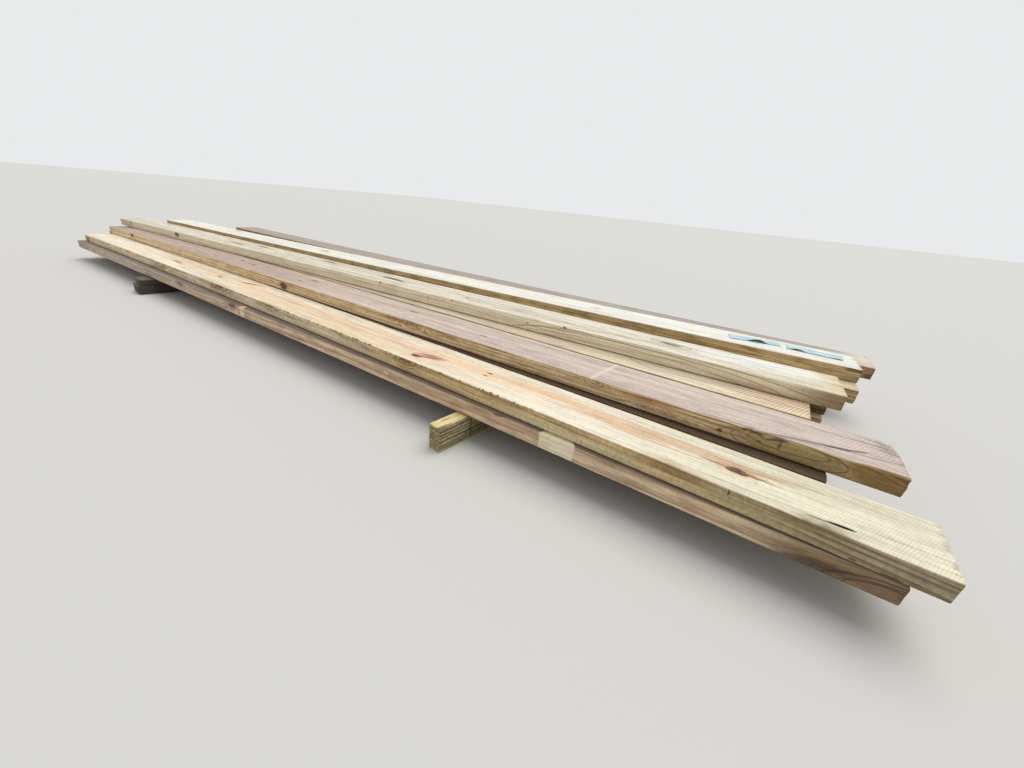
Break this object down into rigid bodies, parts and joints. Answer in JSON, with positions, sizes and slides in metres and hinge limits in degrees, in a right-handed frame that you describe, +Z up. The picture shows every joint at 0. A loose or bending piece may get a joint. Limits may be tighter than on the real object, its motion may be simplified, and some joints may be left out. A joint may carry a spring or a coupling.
{
  "type": "stack of lumber",
  "caption": "Low stack of long pressure treated pine boards in skewed courses, lying on crosswise bearers, with loose tags on top.",
  "frame": {"origin": "on the floor under the middle of the whole stack's box", "axes": "+X along the boards, +Y from the front of the stack to its back, +Z up"},
  "size_m": [3.8435, 1.236, 0.2259],
  "materials": {
    "treated_pine": "sawn and planed, weathered",
    "bearer_pine": "rough sawn, weathered",
    "tag_film": "matt film"
  },
  "bodies": {
    "root": {"course_1_board_1": "treated_pine", "course_1_board_2": "treated_pine", "course_1_board_3": "treated_pine", "course_1_board_4": "treated_pine", "course_1_board_5": "treated_pine", "course_1_board_6": "treated_pine", "course_2_board_1": "treated_pine", "course_2_board_2": "treated_pine", "course_2_board_3": "treated_pine", "course_2_board_4": "treated_pine", "course_2_board_5": "treated_pine", "course_2_board_6": "treated_pine", "course_2_board_7": "treated_pine", "course_3_board_1": "treated_pine", "course_3_board_2": "treated_pine", "course_3_board_3": "treated_pine", "course_3_board_4": "treated_pine", "course_3_board_5": "treated_pine", "course_4_board_1": "treated_pine", "course_4_board_2": "treated_pine", "near_bearer": "bearer_pine", "far_bearer_lower": "bearer_pine", "far_bearer_upper": "bearer_pine", "tag_1": "tag_film", "tag_2": "tag_film"}
  },
  "joints": []
}
